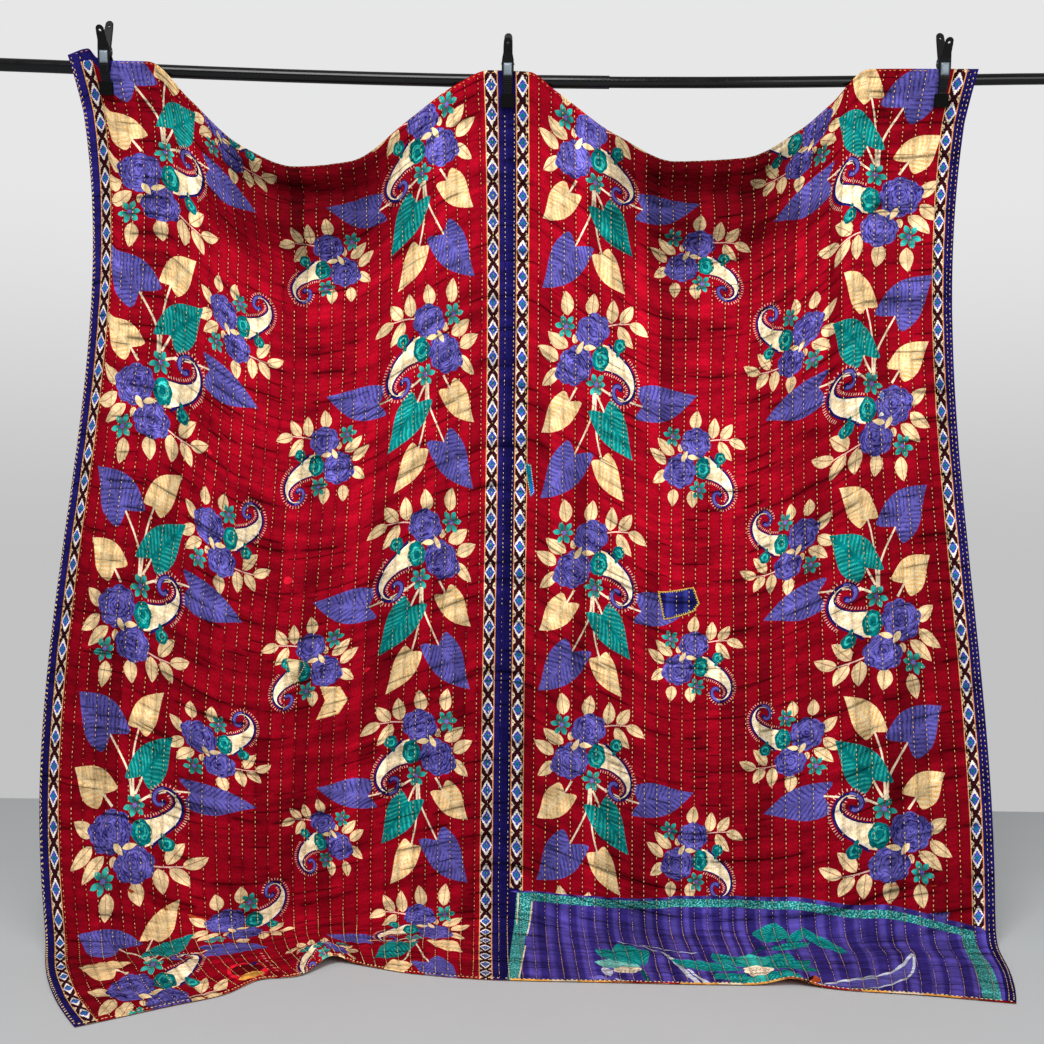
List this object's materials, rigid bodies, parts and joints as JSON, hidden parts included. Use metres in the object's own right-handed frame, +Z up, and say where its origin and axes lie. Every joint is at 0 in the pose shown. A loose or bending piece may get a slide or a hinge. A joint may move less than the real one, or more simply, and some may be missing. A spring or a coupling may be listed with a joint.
{
  "type": "kantha quilt hanging from a telescoping rod by spring clamps",
  "caption": "Worn kantha quilt of joined sari widths with rows of running stitch, hung by spring clamps from a telescoping rod, its hem trailing forward on the floor",
  "frame": {"origin": "the middle of the rod's left end face, where a stand holds it", "axes": "+X along the rod to the right as seen from the printed face, +Y away from the printed face, +Z up"},
  "size_m": [2.64, 0.6893, 2.0886],
  "materials": {
    "printed_cotton": "soft worn printed cotton, red ground with violet, teal and cream flowers, rows of cream running stitch",
    "printed_cotton_pallu": "soft worn printed cotton, red ground with a violet end panel edged in teal, rows of cream running stitch",
    "outer_tube": "satin black powder coat",
    "inner_tube": "satin black powder coat, slightly rubbed",
    "rod_plug": "matt black moulded plastic",
    "clamp_arm": "black moulded nylon with a soft sheen",
    "clamp_pad": "matt black rubber",
    "clamp_steel": "plain spring steel"
  },
  "bodies": {
    "root": {"quilt_left_width": "printed_cotton", "quilt_right_width": "printed_cotton_pallu", "rod_outer_tube": "outer_tube", "rod_inner_tube": "inner_tube", "rod_left_plug": "rod_plug", "rod_right_plug": "rod_plug", "clamp_left_front_arm": "clamp_arm", "clamp_left_rear_arm": "clamp_arm", "clamp_left_front_pad": "clamp_pad", "clamp_left_rear_pad": "clamp_pad", "clamp_left_pin": "clamp_steel", "clamp_left_spring": "clamp_steel", "clamp_centre_front_arm": "clamp_arm", "clamp_centre_rear_arm": "clamp_arm", "clamp_centre_front_pad": "clamp_pad", "clamp_centre_rear_pad": "clamp_pad", "clamp_centre_pin": "clamp_steel", "clamp_centre_spring": "clamp_steel", "clamp_right_front_arm": "clamp_arm", "clamp_right_rear_arm": "clamp_arm", "clamp_right_front_pad": "clamp_pad", "clamp_right_rear_pad": "clamp_pad", "clamp_right_pin": "clamp_steel", "clamp_right_spring": "clamp_steel"}
  },
  "joints": []
}
